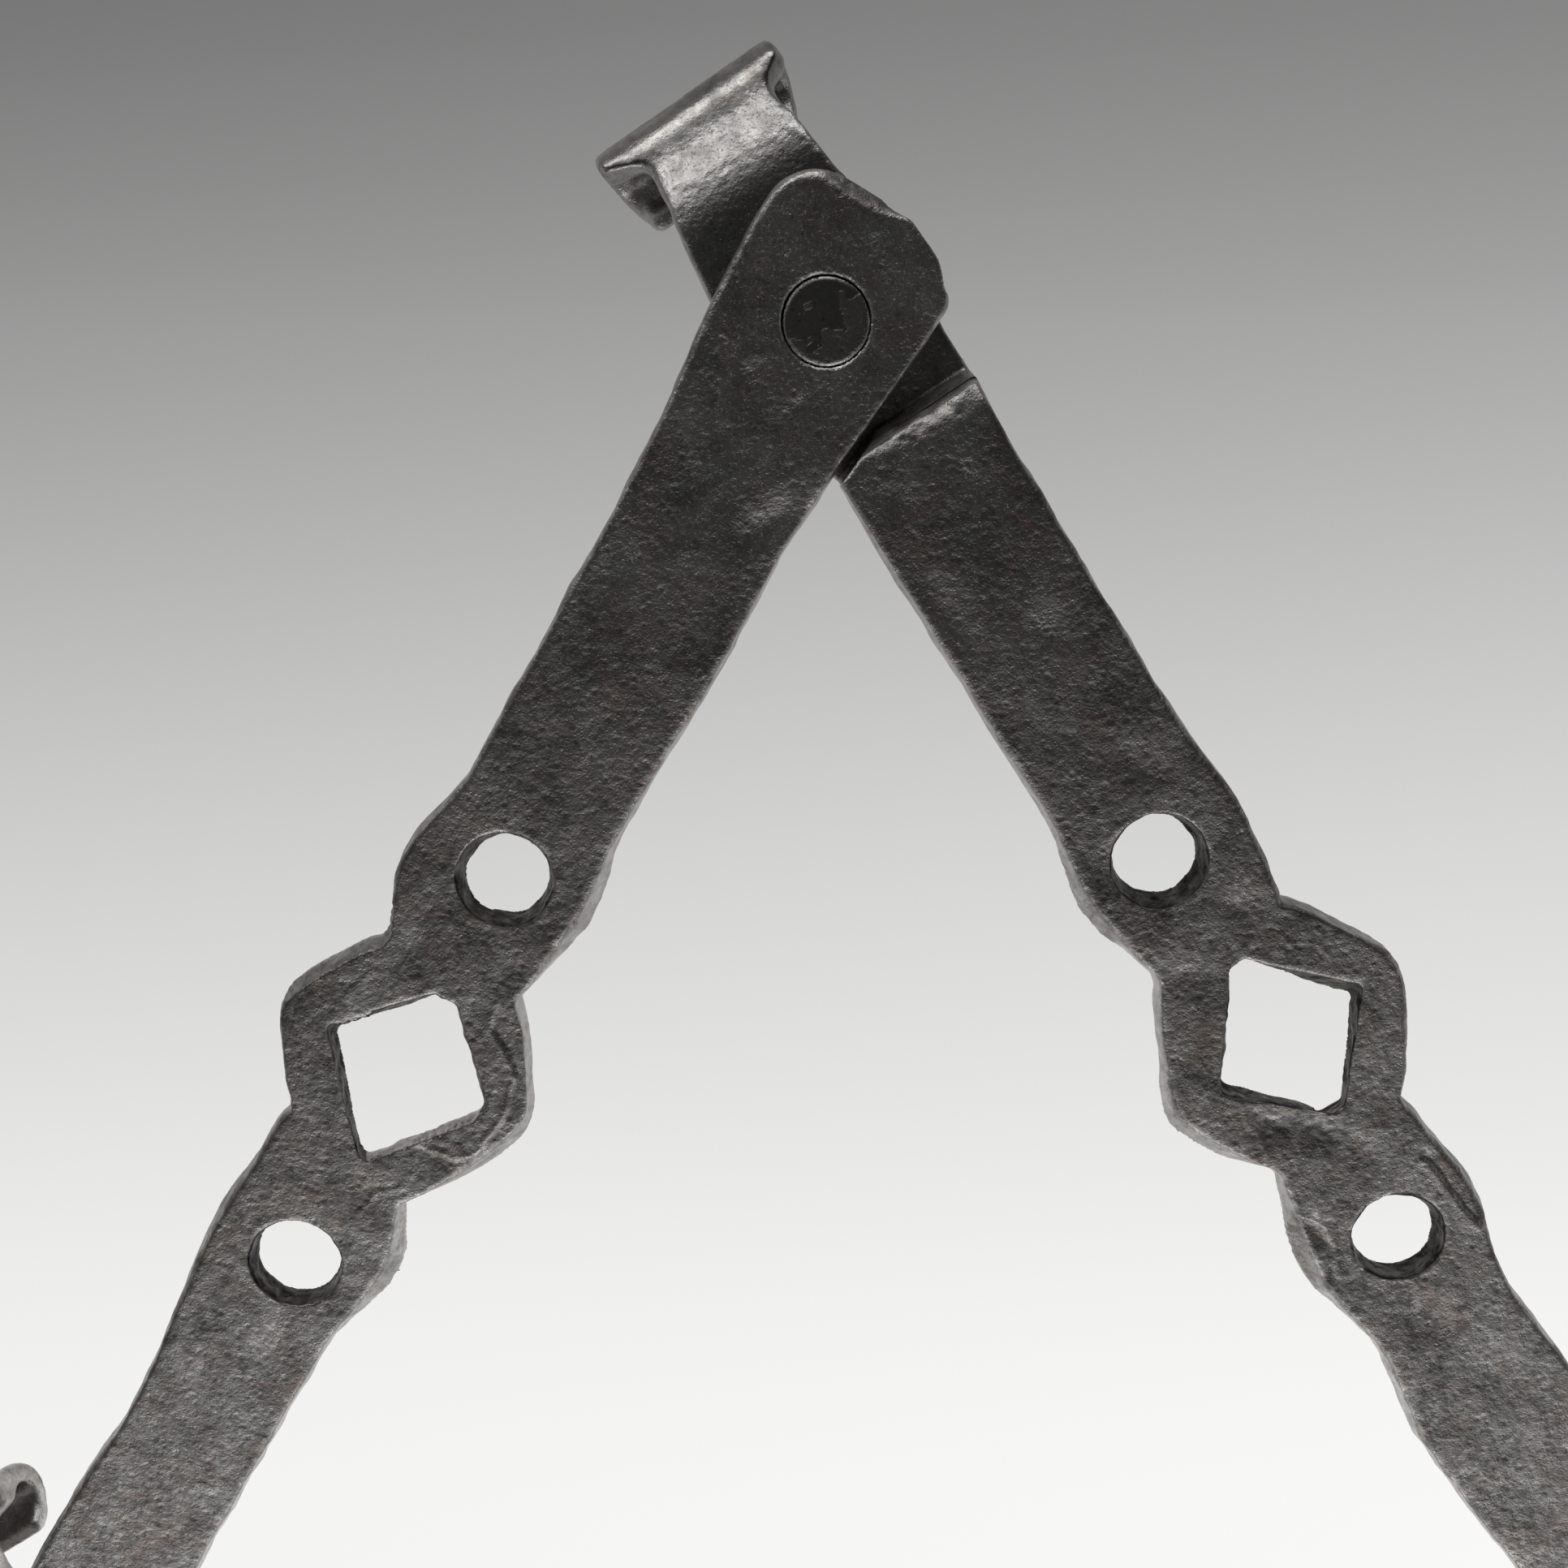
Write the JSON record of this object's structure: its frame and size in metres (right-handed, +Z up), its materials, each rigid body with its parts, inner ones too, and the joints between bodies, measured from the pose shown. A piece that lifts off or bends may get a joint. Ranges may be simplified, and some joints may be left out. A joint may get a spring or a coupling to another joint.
{
  "type": "folding trivet",
  "caption": "Hand-forged folding trivet: pierced flat iron bars riveted at their ends into a rhombus that opens and closes, standing on rolled fishtail scroll feet.",
  "frame": {"origin": "centre of the rhombus of rivets, on the ground plane under the worn soles of the scroll feet", "axes": "+Z up through the level top faces; +Y along the long diagonal towards the top rivet, where the bars meet at the acute angle; +X along the short diagonal towards the right rivet"},
  "size_m": [0.3532, 0.5518, 0.0266],
  "materials": {
    "plain_bar_iron": "hand-forged scale, dark grey, worn bright on the edges",
    "footed_bar_iron": "hand-forged scale, dark grey-brown, worn bright on the edges and scrolls",
    "rivet_iron": "hammered smooth, dark"
  },
  "bodies": {
    "plain_left": {"plain_bar_left": "plain_bar_iron", "top_rivet": "rivet_iron", "left_rivet": "rivet_iron"},
    "footed_right": {"footed_bar_right": "footed_bar_iron"},
    "footed_left": {"footed_bar_left": "footed_bar_iron"},
    "plain_right": {"plain_bar_right": "plain_bar_iron", "right_rivet": "rivet_iron", "bottom_rivet": "rivet_iron"}
  },
  "joints": [
    {"name": "top_pivot", "type": "hinge", "parent": "plain_left", "child": "footed_right", "pos_m": [0, 0.23545, 0.02663], "axis": [0, 0, 1], "range_deg": [-3, 52]},
    {"name": "left_pivot", "type": "hinge", "parent": "plain_left", "child": "footed_left", "pos_m": [-0.144, 0, 0.02663], "axis": [0, 0, 1], "range_deg": [-3, 52]},
    {"name": "right_pivot", "type": "hinge", "parent": "footed_right", "child": "plain_right", "pos_m": [0.144, 0, 0.02663], "axis": [0, 0, 1], "range_deg": [-52, 3]}
  ],
  "couplings": [
    {"joint": "left_pivot", "follows": "top_pivot", "ratio": 1},
    {"joint": "right_pivot", "follows": "top_pivot", "ratio": -1}
  ]
}
